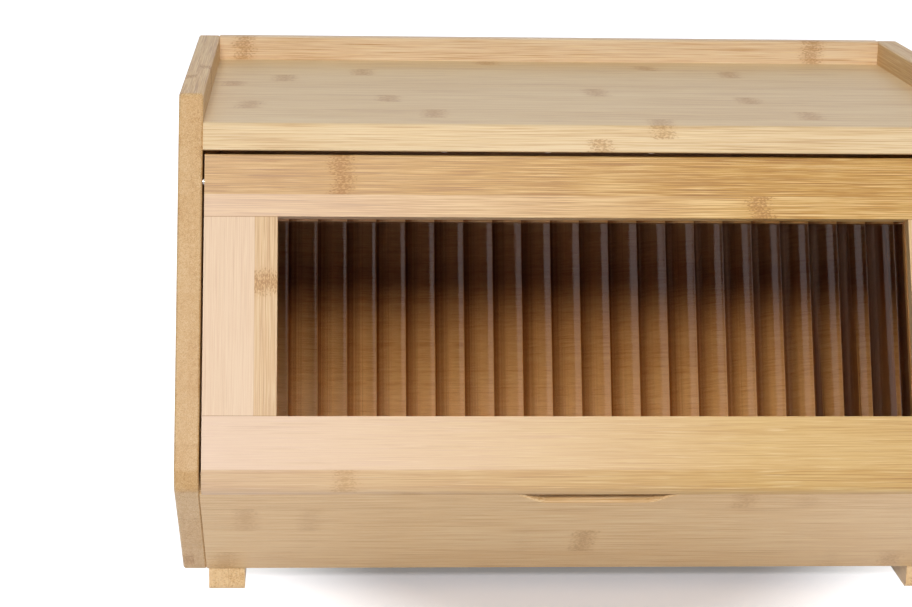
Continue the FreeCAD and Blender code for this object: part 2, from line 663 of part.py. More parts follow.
for item in doc.Objects:
    if "Invalid" in item.State or "Error" in item.State:
        raise RuntimeError("%s did not build: %s" % (item.Label, item.State))
for piece in pieces:
    if piece.Shape.isNull() or not piece.Shape.isValid():
        raise RuntimeError("%s has no valid shape" % piece.Label)

os.makedirs("parts", exist_ok=True)
for piece in pieces:
    piece.Shape.exportStep("parts/%s.step" % piece.Label)
    box = piece.Shape.BoundBox
    print("%-22s %d solid(s), volume %9.1f, x %7.1f %7.1f  y %7.1f %7.1f  z %6.1f %6.1f" % (
        piece.Label, len(piece.Shape.Solids), piece.Shape.Volume,
        box.XMin, box.XMax, box.YMin, box.YMax, box.ZMin, box.ZMax))
print("hinge axis: y %.3f  z %.3f" % (value(PIN_Y), value(PIN_Z)))
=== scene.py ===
from math import cos, radians, sin
import bpy
import numpy as np
from mathutils import Matrix, Vector


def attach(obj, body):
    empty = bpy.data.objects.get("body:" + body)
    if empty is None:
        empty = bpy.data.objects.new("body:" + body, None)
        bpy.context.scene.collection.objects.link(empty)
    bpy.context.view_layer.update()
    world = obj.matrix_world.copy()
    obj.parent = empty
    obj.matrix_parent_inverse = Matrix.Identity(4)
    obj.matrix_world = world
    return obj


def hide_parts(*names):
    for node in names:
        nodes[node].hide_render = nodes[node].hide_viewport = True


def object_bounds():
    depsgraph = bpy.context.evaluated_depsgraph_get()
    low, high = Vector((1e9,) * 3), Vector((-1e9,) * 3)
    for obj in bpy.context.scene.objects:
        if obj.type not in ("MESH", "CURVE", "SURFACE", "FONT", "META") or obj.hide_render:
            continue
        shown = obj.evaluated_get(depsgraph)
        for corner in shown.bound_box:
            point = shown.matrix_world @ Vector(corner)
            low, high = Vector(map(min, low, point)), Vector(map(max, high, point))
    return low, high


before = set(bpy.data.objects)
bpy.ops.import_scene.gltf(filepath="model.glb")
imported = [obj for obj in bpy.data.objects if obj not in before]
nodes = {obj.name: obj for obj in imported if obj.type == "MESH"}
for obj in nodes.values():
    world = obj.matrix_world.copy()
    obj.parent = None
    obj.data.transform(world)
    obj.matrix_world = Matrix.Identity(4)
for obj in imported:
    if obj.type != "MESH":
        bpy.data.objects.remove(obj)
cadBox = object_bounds()
mm = 0.001
print("stage: frame loaded,", len(nodes), "nodes")

# Camera
cameraLook = {
    "place": (-0.13597, -1.13365, 0.43313),
    "yaw": 2.914,     # degrees to the right of straight ahead
    "pitch": -14.479,
    "roll": 0.908,
    "lens": 88.405,
    "sensor": 36.0,
    "shift": (0.03728, -0.0170),
    "near": 0.05,     # m
}


def aimCamera(look):
    # the view direction from yaw and pitch; right is level and up is square to both, then both turn
    # by the roll
    yaw, pitch, roll = (radians(look[k]) for k in ("yaw", "pitch", "roll"))
    ahead = Vector((sin(yaw) * cos(pitch), cos(yaw) * cos(pitch), sin(pitch)))
    level = Vector((cos(yaw), -sin(yaw), 0))
    top = level.cross(ahead)
    right = cos(roll) * level + sin(roll) * top
    up = cos(roll) * top - sin(roll) * level
    data = bpy.data.cameras.new("camera")
    data.sensor_fit = "HORIZONTAL"
    data.sensor_width = look["sensor"]
    data.lens = look["lens"]
    data.shift_x, data.shift_y = look["shift"]
    data.clip_start = look["near"]
    camera = bpy.data.objects.new("camera", data)
    turn = Matrix((right, up, -ahead)).transposed().to_4x4()
    camera.matrix_world = Matrix.Translation(look["place"]) @ turn
    bpy.context.scene.collection.objects.link(camera)
    bpy.context.scene.camera = camera


aimCamera(cameraLook)
print("stage: camera")


# Helpers for materials
def shade(code):
    # sRGB hex to linear colour with alpha, by the standard's own curve
    parts = [int(code[i:i + 2], 16) / 255 for i in (1, 3, 5)]
    line = tuple(p / 12.92 if p <= 0.04045 else ((p + 0.055) / 1.055) ** 2.4 for p in parts)
    return line + (1.0,)


def add(tree, kind, inputs=None, output=0, **settings):
    # adds one node with its settings; an input is a value or the socket that feeds it
    item = tree.nodes.new("ShaderNode" + kind)
    for key, value in settings.items():
        setattr(item, key, value)
    for key, value in (inputs or {}).items():
        if isinstance(value, bpy.types.NodeSocket):
            tree.links.new(value, item.inputs[key])
        else:
            item.inputs[key].default_value = value
    return item.outputs[output] if item.outputs else None


def newMaterial(name):
    material = bpy.data.materials.new(name)
    material.use_nodes = True
    material.node_tree.nodes.clear()
    return material, material.node_tree


def setStops(socket, stops, interpolation="LINEAR"):
    # fills a colour ramp: each stop is its place and its colour
    ramp = socket.node.color_ramp
    ramp.interpolation = interpolation
    while len(ramp.elements) > 1:
        ramp.elements.remove(ramp.elements[-1])
    ramp.elements[0].position, ramp.elements[0].color = stops[0]
    for place, colour in stops[1:]:
        ramp.elements.new(place).color = colour
    return socket


# Board directions
doorLean = radians(25)       # the door's boards lean back
apronTilt = radians(46)      # the apron slopes inwards to its foot
axisX, axisY, axisZ = (1, 0, 0), (0, 1, 0), (0, 0, 1)
doorUp = (0, sin(doorLean), cos(doorLean))
doorIn = (0, cos(doorLean), -sin(doorLean))
apronUp = (0, -sin(apronTilt), cos(apronTilt))
apronIn = (0, cos(apronTilt), sin(apronTilt))


def nodePoints(name):
    mesh = nodes[name].data
    points = np.empty(len(mesh.vertices) * 3)
    mesh.vertices.foreach_get("co", points)
    return points.reshape(-1, 3)


def spanAlong(name, axis):
    # lowest and highest point of a node along a direction, in mm
    reach = nodePoints(name) @ np.array(axis) / mm
    return float(reach.min()), float(reach.max())


# Laminated bamboo
# Moso bamboo, split into strips, pressed into boards, planed and given a satin lacquer. Eye: pale honey
# strips of slightly different tone, fine straight fibres, brown speckled bands where the cane had its
# knuckles, dots of the fibre bundles on end grain, a soft broad sheen.
bambooLook = {
    "dark": "#BD8F55",
    "mid": "#D8B379",
    "light": "#E9CE9F",
    "stops": (0.12, 0.5, 0.86),    # levels at which those three stand
    # painted sheen: the pinkish lighter colour laid on one end of a board
    "paintedSheen": "#F0D7C4",             # the pinkish ends
    # painted glints: the colour of short pale dashes along the grain
    "glintTint": "#F4DDAE",             # short fibres that stand out
    "bundle": "#9C6A35",
    "speckle": "#9C6420",
    "ochre": "#CB9A50",            # ground of a knuckle
    # level of a spot: a base, a share of the strip's tone, and each pattern's swing times its weight
    "toneBase": 0.19,
    "toneSpan": 0.62,
    "layerWeight": 0.12,
    "streakWeight": 0.65,
    "cloudWeight": 0.4,
    "fibreWeight": 2.3,
    # patterns along the grain, in mm
    "fibreLength": 42.0,
    "fibreWidth": 0.42,            # real fibres are about 0.2 mm, drawn coarser so that they show
    "streakLength": 170.0,         # broad bands of tone
    "streakWidth": 2.0,
    "cloudLength": 90.0,
    "cloudWidth": 30.0,
    # painted glints, short pale dashes along the grain:
    "glintLength": 24.0,            # short pale fibres
    "glintRange": (0.60, 0.70),     # levels of the pattern between which a pale fibre comes up
    "glint": 0.65,                  # how strongly the pale fibres show
    # painted sheen: pinkish and lighter, most at one end of the board
    "sheenReach": 0.7,              # share of the length over which it fades
    "sheenTones": (0.45, 0.75),     # strips take more of it from the first tone to the second
    "sheenLeast": 0.35,             # share that the darkest strips take
    # end grain
    "bundlePitch": 1.25,           # mm between the fibre bundles
    "bundleRun": 55.0,             # mm that a bundle stays in a cut face
    "bundleScatter": 0.85,
    "bundleEdge": (0.16, 0.36),    # from a bundle's dark middle to its rim, in pitches
    "bundleShow": (0.10, 0.28),    # along the board, and on a cut end
    "endFacing": (0.55, 0.85),     # how squarely a face has to cut the grain
    "endDark": 0.35,               # cut ends take the lacquer deeper
    # knuckles
    "knuckleHalf": 4.8,            # mm, half the height of a knuckle's band
    "wobble": 9.0,                 # mm by which the band wanders
    "wobbleLength": 60.0,
    "wobbleWidth": 5.0,
    "knuckleGrit": 0.62,           # mm between a knuckle's speckles
    "gritStretch": 2.6,            # a speckle's length over its width
    "gritGain": 0.17,              # how much the band brings its speckles out
    "gritRange": (0.60, 0.66),
    "gritRim": (0.05, 0.3),        # how deep in the band the speckles start
    "groundShow": 0.34,
    "gritShow": 0.58,
    # layers and glue lines
    "plyHeight": 6.0,              # mm, about the thickness of one layer of strips
    "plyOver": 0.05,               # mm, keeps the outer face in the last layer
    "plyShift": 31.0,              # mm that the next layer's knuckles lie further along
    "layerSlip": 93.0,             # mm that the next layer's fibres lie further along
    "stripSlip": 400.0,            # mm, the most that a strip's fibres lie further along
    "seedStep": 1.7,
    "seamWidth": 0.22,             # mm of glue line; really about 0.1
    "seamShow": 0.22,
    "jointShow": 0.7,
    # surface
    "roughness": (0.36, 0.56),
    "roughFibres": (0.3, 0.7),     # levels of the fibres that have those two
    "bump": 0.16,
    "bumpDepth": 0.00012,          # m
    "bundleRelief": -0.5,          # bundles and speckles lie a little deeper than the fibres
    "gritRelief": -0.8,
    "ior": 1.5,
}

# The inside can only be guessed: it is taken as the same bamboo in a deeper tone, which is painted shade.
# The back wall's deepening towards its top is shade that is painted on.
insideMargin = 0.2               # mm past each inner face
insideLook = {
    # painted shade inside the box: each colour multiplies the bamboo's own
    "insideShade": "#BFA886",
    "backShadeLow": "#FFF4D0",        # the back wall near the floor
    "backShadeTop": "#A58C6A",         # and near the top board
    "backShadeRise": (30.0, 118.0),      # mm above the ground between which it goes from one to the other
    "walls": [("X", spanAlong("side_panel_left", axisX)[1] - insideMargin, "GREATER_THAN"),
              ("X", spanAlong("side_panel_right", axisX)[0] + insideMargin, "LESS_THAN"),
              ("Y", spanAlong("back_panel", axisY)[0] + insideMargin, "LESS_THAN"),
              ("Z", spanAlong("bottom_board", axisZ)[1] - insideMargin, "GREATER_THAN"),
              ("Z", spanAlong("top_board", axisZ)[0] + insideMargin, "LESS_THAN")],
}

noiseMiddle = 0.5                # level about which a noise swings
tableReach = 1000.0              # mm that a ramp colour of 1 stands for


def bambooBoard(label, name, axes, strips, seed, look=bambooLook, paintedSheen=0.0, fade=0.0, knots=1.0,
                endLine=0.0, insideShadeKey=""):
    # axes are the directions along the grain, across the strips and through the layers. Each strip is
    # (start as a share of the width, tone 0 to 1, place of its knuckle and from one to the next, in mm).
    # The painted sheen, pinkish and lighter, is given as a share over the whole board and as what its low
    # end has on top, fading along it; knots is how strongly the knuckles show; endLine is the width in mm
    # of a joint line; the last argument names a painted inside shade of insideLook.
    along, across, through = axes
    lowAlong, highAlong = spanAlong(name, along)
    lowAcross, highAcross = spanAlong(name, across)
    lowThrough, highThrough = spanAlong(name, through)
    length, width = highAlong - lowAlong, highAcross - lowAcross
    thickness = highThrough - lowThrough
    ply = (thickness + look["plyOver"]) / max(1, round(thickness / look["plyHeight"]))
    material, tree = newMaterial(label)
    objectSpot = add(tree, "TexCoord", output="Object")
    places = []
    for axis, low in ((along, lowAlong), (across, lowAcross), (through, lowThrough)):
        way = add(tree, "VectorMath", {0: objectSpot, 1: [v / mm for v in axis]}, output="Value",
                  operation="DOT_PRODUCT")
        places.append(add(tree, "Math", {0: way, 1: low}, operation="SUBTRACT"))
    a, b, c = places       # mm from the board's low end, low edge and low face

    # which strip and which layer, with a tone and a knuckle of its own
    share = add(tree, "Math", {0: b, 1: width}, operation="DIVIDE")
    table = setStops(add(tree, "ValToRGB", {"Fac": share}),
                     [(start, (tone, knuckle / tableReach, spacing / tableReach, 1))
                      for start, tone, knuckle, spacing in strips], "CONSTANT")
    tone, knuckle, spacing = (add(tree, "SeparateColor", {"Color": table}, output=channel)
                              for channel in ("Red", "Green", "Blue"))
    stripKey = add(tree, "Math", {0: knuckle, 1: tone}, operation="ADD")
    chance = add(tree, "TexWhiteNoise", {"W": stripKey}, noise_dimensions="1D")
    layer = add(tree, "Math", {0: c, 1: ply}, operation="DIVIDE")
    layer = add(tree, "Math", {0: layer}, operation="FLOOR")
    layerKey = add(tree, "Math", {0: layer, 1: seed * look["seedStep"]}, operation="ADD")
    layerChance = add(tree, "TexWhiteNoise", {"W": layerKey}, noise_dimensions="1D")
    slip = add(tree, "Math", {0: layer, 1: look["layerSlip"]}, operation="MULTIPLY")
    slip = add(tree, "Math", {0: chance, 1: look["stripSlip"], 2: slip}, operation="MULTIPLY_ADD")
    slipped = add(tree, "Math", {0: a, 1: slip}, operation="ADD")
    board = add(tree, "CombineXYZ", {"X": slipped, "Y": b, "Z": c})

    def grain(run, thick, detail, kind="TexNoise"):
        # a pattern stretched along the grain: run mm long and thick mm wide
        spot = add(tree, "Mapping", {"Vector": board, "Scale": (1 / run, 1 / thick, 1 / thick)})
        return add(tree, kind, {"Vector": spot, "Scale": 1.0, **detail})

    fibre = grain(look["fibreLength"], look["fibreWidth"], {"Detail": 3.0, "Roughness": 0.6})
    streak = grain(look["streakLength"], look["streakWidth"], {"Detail": 2.0, "Roughness": 0.5})
    cloud = grain(look["cloudLength"], look["cloudWidth"], {"Detail": 1.0})
    bundleAway = grain(look["bundleRun"], look["bundlePitch"], {"Randomness": look["bundleScatter"]},
                       kind="TexVoronoi")
    bundle = add(tree, "MapRange", {"Value": bundleAway, "From Min": look["bundleEdge"][0],
                                    "From Max": look["bundleEdge"][1], "To Min": 1.0, "To Max": 0.0},
                 interpolation_type="SMOOTHSTEP")

    # how squarely a face cuts the grain
    facing = add(tree, "VectorMath", {0: add(tree, "TexCoord", output="Normal"), 1: along},
                 output="Value", operation="DOT_PRODUCT")
    facing = add(tree, "Math", {0: facing}, operation="ABSOLUTE")
    endGrain = add(tree, "MapRange", {"Value": facing, "From Min": look["endFacing"][0],
                                      "From Max": look["endFacing"][1]})

    # tone of the strip, its streaks and its fibres
    level = add(tree, "Math", {0: tone, 1: look["toneSpan"], 2: look["toneBase"]},
                operation="MULTIPLY_ADD")
    for pattern, weight in ((layerChance, "layerWeight"), (streak, "streakWeight"),
                            (cloud, "cloudWeight"), (fibre, "fibreWeight")):
        swing = add(tree, "Math", {0: pattern, 1: noiseMiddle}, operation="SUBTRACT")
        level = add(tree, "Math", {0: swing, 1: look[weight], 2: level}, operation="MULTIPLY_ADD")
    colour = setStops(add(tree, "ValToRGB", {"Fac": level}),
                      [(stop, shade(look[key])) for stop, key in zip(look["stops"],
                                                                     ("dark", "mid", "light"))])
    # painted glints: short pale dashes along the grain for the light that single fibres catch
    glint = grain(look["glintLength"], look["fibreWidth"], {"Detail": 1.0})
    glint = add(tree, "MapRange", {"Value": glint, "From Min": look["glintRange"][0],
                                  "From Max": look["glintRange"][1], "To Max": look["glint"]})
    colour = add(tree, "Mix", {0: glint, 6: colour, 7: shade(look["glintTint"])}, output=2, data_type="RGBA")
    # painted sheen: a pinkish lighter tone, most at the board's low end and fading along it
    sheenShare = add(tree, "MapRange", {"Value": a, "From Max": length * look["sheenReach"],
                                   "To Min": paintedSheen + fade, "To Max": paintedSheen})
    taken = add(tree, "MapRange", {"Value": tone, "From Min": look["sheenTones"][0],
                                   "From Max": look["sheenTones"][1], "To Min": look["sheenLeast"]})
    sheenShare = add(tree, "Math", {0: sheenShare, 1: taken}, operation="MULTIPLY")
    colour = add(tree, "Mix", {0: sheenShare, 6: colour, 7: shade(look["paintedSheen"])}, output=2, data_type="RGBA")
    # fibre bundles, and cut ends as a whole
    bundleShow = add(tree, "MapRange", {"Value": endGrain, "To Min": look["bundleShow"][0],
                                        "To Max": look["bundleShow"][1]})
    bundleDark = add(tree, "Math", {0: bundle, 1: bundleShow}, operation="MULTIPLY")
    colour = add(tree, "Mix", {0: bundleDark, 6: colour, 7: shade(look["bundle"])}, output=2,
                 data_type="RGBA")
    endDark = add(tree, "Math", {0: endGrain, 1: look["endDark"]}, operation="MULTIPLY")
    colour = add(tree, "Mix", {0: endDark, 6: colour, 7: shade(look["dark"])}, output=2,
                 data_type="RGBA")

    # knuckles: a band across the strip, thinning out at its edges, with dark grit along the grain.
    # The place along the board, less the knuckle's own, wraps round once per spacing.
    middle = add(tree, "Math", {0: knuckle, 1: tableReach}, operation="MULTIPLY")
    middle = add(tree, "Math", {0: layer, 1: look["plyShift"], 2: middle}, operation="MULTIPLY_ADD")
    away = add(tree, "Math", {0: a, 1: middle}, operation="SUBTRACT")
    wander = grain(look["wobbleLength"], look["wobbleWidth"], {"Detail": 2.0})
    wander = add(tree, "Math", {0: wander, 1: noiseMiddle}, operation="SUBTRACT")
    away = add(tree, "Math", {0: wander, 1: look["wobble"], 2: away}, operation="MULTIPLY_ADD")
    most = add(tree, "Math", {0: spacing, 1: tableReach / 2}, operation="MULTIPLY")
    least = add(tree, "Math", {0: most, 1: -1.0}, operation="MULTIPLY")
    away = add(tree, "Math", {0: away, 1: most, 2: least}, operation="WRAP")
    away = add(tree, "Math", {0: away}, operation="ABSOLUTE")
    band = add(tree, "MapRange", {"Value": away, "From Max": look["knuckleHalf"] * 2, "To Min": 1.0,
                                  "To Max": 0.0}, interpolation_type="SMOOTHSTEP")
    grit = grain(look["knuckleGrit"] * look["gritStretch"], look["knuckleGrit"],
                 {"Detail": 2.0, "Roughness": 0.6})
    grit = add(tree, "Math", {0: band, 1: look["gritGain"], 2: grit}, operation="MULTIPLY_ADD")
    grit = add(tree, "MapRange", {"Value": grit, "From Min": look["gritRange"][0],
                                  "From Max": look["gritRange"][1]})
    rim = add(tree, "MapRange", {"Value": band, "From Min": look["gritRim"][0],
                                 "From Max": look["gritRim"][1]})
    grit = add(tree, "Math", {0: grit, 1: rim}, operation="MULTIPLY")
    for mark, show, key in ((band, "groundShow", "ochre"), (grit, "gritShow", "speckle")):
        amount = add(tree, "Math", {0: mark, 1: look[show] * knots}, operation="MULTIPLY")
        colour = add(tree, "Mix", {0: amount, 6: colour, 7: shade(look[key])}, output=2,
                     data_type="RGBA")

    # glue lines between the strips, and the joint line where a board ends against another
    near = look["seamWidth"] / width
    black, white = (0, 0, 0, 1), (1, 1, 1, 1)
    stops = [(0.0, black)]
    for start, _, _, _ in strips[1:]:
        stops += [(start - near, black), (start, white), (start + near, black)]
    seam = setStops(add(tree, "ValToRGB", {"Fac": share}), stops)
    seam = add(tree, "Math", {0: seam, 1: look["seamShow"]}, operation="MULTIPLY")
    colour = add(tree, "Mix", {0: seam, 6: colour, 7: shade(look["bundle"])}, output=2,
                 data_type="RGBA")
    if endLine:
        fromMiddle = add(tree, "Math", {0: a, 1: length / 2}, operation="SUBTRACT")
        fromMiddle = add(tree, "Math", {0: fromMiddle}, operation="ABSOLUTE")
        joint = add(tree, "Math", {0: fromMiddle, 1: length / 2 - endLine}, operation="GREATER_THAN")
        joint = add(tree, "Math", {0: joint, 1: look["jointShow"]}, operation="MULTIPLY")
        colour = add(tree, "Mix", {0: joint, 6: colour, 7: shade(look["speckle"])}, output=2,
                     data_type="RGBA")
    if insideShadeKey:
        # painted shade: the faces inside the box are darkened, and the back wall more towards its top
        spot = add(tree, "SeparateXYZ", {"Vector": objectSpot})
        shadedInsideMask = 1.0
        for axis, edge, test in insideLook["walls"]:
            side = add(tree, "Math", {0: spot.node.outputs[axis], 1: edge * mm}, operation=test)
            shadedInsideMask = add(tree, "Math", {0: shadedInsideMask, 1: side}, operation="MULTIPLY")
        insideShade = shade(insideLook[insideShadeKey])
        if insideShadeKey == "backShadeLow":
            low, high = (v * mm for v in insideLook["backShadeRise"])
            rise = add(tree, "MapRange", {"Value": spot.node.outputs["Z"], "From Min": low,
                                          "From Max": high}, interpolation_type="SMOOTHSTEP")
            insideShade = add(tree, "Mix", {0: rise, 6: insideShade, 7: shade(insideLook["backShadeTop"])}, output=2,
                      data_type="RGBA")
        colour = add(tree, "Mix", {0: shadedInsideMask, 6: colour, 7: insideShade}, output=2, data_type="RGBA",
                     blend_type="MULTIPLY")

    rough = add(tree, "MapRange", {
        "Value": fibre, "From Min": look["roughFibres"][0], "From Max": look["roughFibres"][1],
        "To Min": look["roughness"][0], "To Max": look["roughness"][1]})
    relief = add(tree, "Math", {0: bundle, 1: look["bundleRelief"], 2: fibre}, operation="MULTIPLY_ADD")
    relief = add(tree, "Math", {0: grit, 1: look["gritRelief"], 2: relief}, operation="MULTIPLY_ADD")
    normal = add(tree, "Bump", {"Strength": look["bump"], "Distance": look["bumpDepth"],
                                "Height": relief})
    surface = add(tree, "BsdfPrincipled", {"Base Color": colour, "Roughness": rough, "Normal": normal,
                                           "IOR": look["ior"]})
    add(tree, "OutputMaterial", {"Surface": surface})
    return material


# These copies differ partly by the boards' own tone and partly as painted light and shade: lighter where a
# board gets less light, as the apron and the feet, deeper where it gets more, as the door.
doorLook = {**bambooLook, "glintTint": "#EBCB87", "dark": "#A87638", "mid": "#C99A4A", "light": "#EBCA8C"}
railLook = {**bambooLook, "glintTint": "#EFD6A0", "mid": "#D1A863", "light": "#E0BF7E"}
apronLook = {**bambooLook, "dark": "#CFA368", "mid": "#EAC68F", "light": "#F4DAAB"}
trayLook = {**bambooLook, "dark": "#C8A174", "mid": "#E2C694", "light": "#EDD7AE"}
footLook = {**bambooLook, "dark": "#CFA365", "mid": "#F9DAA6", "light": "#FDE6BE", "endDark": 0.0}
rimLook = {**bambooLook, "dark": "#CCA372", "mid": "#EACFAA", "light": "#F3E1C2", "plyHeight": 4.0,
           "plyShift": 250.0}

# strips of each board: start as a share of the width, tone, then its knuckle's place from the board's
# low end and the way to the next one, in mm
# a board with an inside key gets the painted inside shade of insideLook on its inner faces
boards = {
    "top_board": dict(axes=(axisX, axisY, axisZ), insideShadeKey="insideShade", seed=1, look=trayLook, knots=0.7, strips=[
        (0.00, 0.62, 191, 400), (0.11, 0.50, 82, 187), (0.225, 0.60, 390, 400), (0.33, 0.50, 60, 187),
        (0.43, 0.58, 170, 400), (0.55, 0.46, 380, 400), (0.63, 0.56, 6, 400), (0.735, 0.60, 49, 203),
        (0.85, 0.48, 209, 400), (0.93, 0.57, 120, 400)]),
    "back_panel": dict(axes=(axisX, axisZ, axisY), insideShadeKey="backShadeLow", seed=2, look=rimLook, knots=0.7,
                       strips=[
        (0.0, 0.60, 390, 400), (0.08, 0.66, 392, 590), (0.17, 0.58, 391, 430), (0.26, 0.60, 395, 620),
        (0.35, 0.50, 393, 480), (0.44, 0.44, 394, 550), (0.53, 0.52, 390, 410), (0.62, 0.46, 396, 600),
        (0.71, 0.55, 391, 450), (0.80, 0.48, 395, 520), (0.91, 0.60, 13.6, 324)]),
    "bottom_board": dict(axes=(axisX, axisY, axisZ), insideShadeKey="insideShade", seed=3, strips=[
        (0.0, 0.5, 130, 290), (0.1, 0.56, 30, 290), (0.2, 0.46, 200, 290), (0.3, 0.55, 90, 290),
        (0.4, 0.5, 260, 290), (0.5, 0.58, 160, 290), (0.6, 0.45, 50, 290), (0.7, 0.54, 220, 290),
        (0.8, 0.5, 110, 290), (0.9, 0.57, 10, 290)]),
    "front_apron": dict(axes=(axisX, apronUp, apronIn), seed=4, look=apronLook, knots=0.7, strips=[
        (0.0, 0.52, 10, 336), (0.33, 0.60, 187, 400), (0.58, 0.50, 52, 400), (0.84, 0.44, 290, 400)]),
    # the fade on the door's rails and the share on its left stile paint a pinkish sheen on the door's left
    # side
    "door_top_rail": dict(axes=(axisX, doorUp, doorIn), seed=5, look=doorLook, fade=0.6, strips=[
        (0.0, 0.74, 268, 400), (0.354, 0.46, 66, 400)]),
    "door_bottom_rail": dict(axes=(axisX, doorUp, doorIn), seed=6, look=railLook, fade=0.8, knots=0.4,
                             strips=[(0.0, 0.54, 67, 400), (0.30, 0.72, 390, 400)]),
    "door_stile_left": dict(axes=(doorUp, axisX, doorIn), seed=7, paintedSheen=0.5, endLine=0.3, strips=[
        (0.0, 0.80, 250, 400), (0.689, 0.42, 65, 400)]),
    "door_stile_right": dict(axes=(doorUp, axisX, doorIn), seed=8, endLine=0.3, strips=[
        (0.0, 0.52, 250, 400), (0.4, 0.66, 36, 400)]),
    "side_panel_left": dict(axes=(axisY, axisZ, axisX), insideShadeKey="insideShade", seed=9, strips=[
        (0.0, 0.56, 60, 260), (0.09, 0.44, 190, 260), (0.18, 0.60, 110, 260), (0.27, 0.50, 20, 260),
        (0.36, 0.58, 220, 260), (0.45, 0.46, 150, 260), (0.54, 0.54, 80, 260), (0.63, 0.60, 240, 260),
        (0.72, 0.47, 170, 260), (0.81, 0.55, 40, 260), (0.90, 0.50, 130, 260)]),
    "side_panel_right": dict(axes=(axisY, axisZ, axisX), insideShadeKey="insideShade", seed=10, strips=[
        (0.0, 0.50, 170, 260), (0.09, 0.58, 50, 260), (0.18, 0.46, 230, 260), (0.27, 0.55, 120, 260),
        (0.36, 0.50, 30, 260), (0.45, 0.60, 200, 260), (0.54, 0.45, 90, 260), (0.63, 0.54, 250, 260),
        (0.72, 0.58, 140, 260), (0.81, 0.48, 60, 260), (0.90, 0.56, 180, 260)]),
}
feet = sorted(n for n in nodes if n.startswith("foot"))
for seed, name in enumerate(feet, start=11):
    boards[name] = dict(axes=(axisY, axisX, axisZ), seed=seed, look=footLook, strips=[
        (0.0, 0.60, 130, 260), (0.55, 0.48, 160, 260)])


def dress(name, material):
    # gives a node's every slot the same material
    for slot in nodes[name].material_slots:
        slot.material = material


for name, board in boards.items():
    dress(name, bambooBoard("lacqueredBamboo_" + name, name, **board))
print("stage: bamboo on", len(boards), "boards")

# Pins and dowels
# Bright-drawn steel wire, cut and tumbled. Eye: clean grey metal with fine lines along the pin.
steelLook = {
    "colour": "#C9C8C4",
    "roughness": (0.18, 0.34),
    "lineWidth": 0.25,      # mm
    "lineLength": 9.0,      # mm
    "bump": 0.1,
    "bumpDepth": 0.0001,    # m
}


def steelPin(label, look):
    material, tree = newMaterial(label)
    run, thick = look["lineLength"] * mm, look["lineWidth"] * mm
    place = add(tree, "TexCoord", output="Object")
    spot = add(tree, "Mapping", {"Vector": place, "Scale": (1 / run, 1 / thick, 1 / thick)})
    lines = add(tree, "TexNoise", {"Vector": spot, "Scale": 1.0, "Detail": 2.0})
    rough = add(tree, "MapRange", {"Value": lines, "To Min": look["roughness"][0],
                                   "To Max": look["roughness"][1]})
    normal = add(tree, "Bump", {"Strength": look["bump"], "Distance": look["bumpDepth"], "Height": lines})
    surface = add(tree, "BsdfPrincipled", {"Base Color": shade(look["colour"]), "Metallic": 1.0,
                                           "Roughness": rough, "Normal": normal})
    add(tree, "OutputMaterial", {"Surface": surface})
    return material


# Fluted beech dowel, turned and left dry. Eye: pinkish fawn with short dark flecks, no gloss.
beechLook = {
    "base": "#CFA277",
    "fleck": "#A87448",
    "stops": (0.38, 0.55),    # levels of the flecks and of the wood between them
    "fleckWidth": 0.4,        # mm
    "fleckLength": 3.0,       # mm
    "roughness": (0.6, 0.8),
    "bump": 0.2,
    "bumpDepth": 0.0001,      # m
}


def beechDowel(label, look):
    material, tree = newMaterial(label)
    run, thick = look["fleckLength"] * mm, look["fleckWidth"] * mm
    place = add(tree, "TexCoord", output="Object")
    spot = add(tree, "Mapping", {"Vector": place, "Scale": (1 / run, 1 / thick, 1 / thick)})
    flecks = add(tree, "TexNoise", {"Vector": spot, "Scale": 1.0, "Detail": 3.0})
    colour = setStops(add(tree, "ValToRGB", {"Fac": flecks}),
                      [(stop, shade(look[key])) for stop, key in zip(look["stops"], ("fleck", "base"))])
    rough = add(tree, "MapRange", {"Value": flecks, "To Min": look["roughness"][0],
                                   "To Max": look["roughness"][1]})
    normal = add(tree, "Bump", {"Strength": look["bump"], "Distance": look["bumpDepth"],
                                "Height": flecks})
    surface = add(tree, "BsdfPrincipled", {"Base Color": colour, "Roughness": rough, "Normal": normal})
    add(tree, "OutputMaterial", {"Surface": surface})
    return material


steel = steelPin("drawnSteel", steelLook)
beech = beechDowel("dryBeech", beechLook)
for name in nodes:
    if name.startswith("hinge_pin"):
        dress(name, steel)
    elif "dowel" in name:
        dress(name, beech)
print("stage: pins and dowels")

# The reeded window
reedLook = {
    "pitch": 14.0,       # mm between two reeds
    "rise": 1.0,         # mm that a reed stands out
    "thickness": 3.0,    # mm over the reeds
    "root": 0.35,        # mm over which two reeds run into each other
    "fill": 0.22,        # share of that by which the root between them is filled
    "steps": 28,         # points across a reed
    "rows": 24,          # points up the sheet
    "sharp": 40,         # degrees; edges steeper than this stay sharp
}


def sheetSpan(name):
    # the node's reach across, up and through the leaning door, in m
    return [[v * mm for v in spanAlong(name, axis)] for axis in (axisX, doorUp, doorIn)]


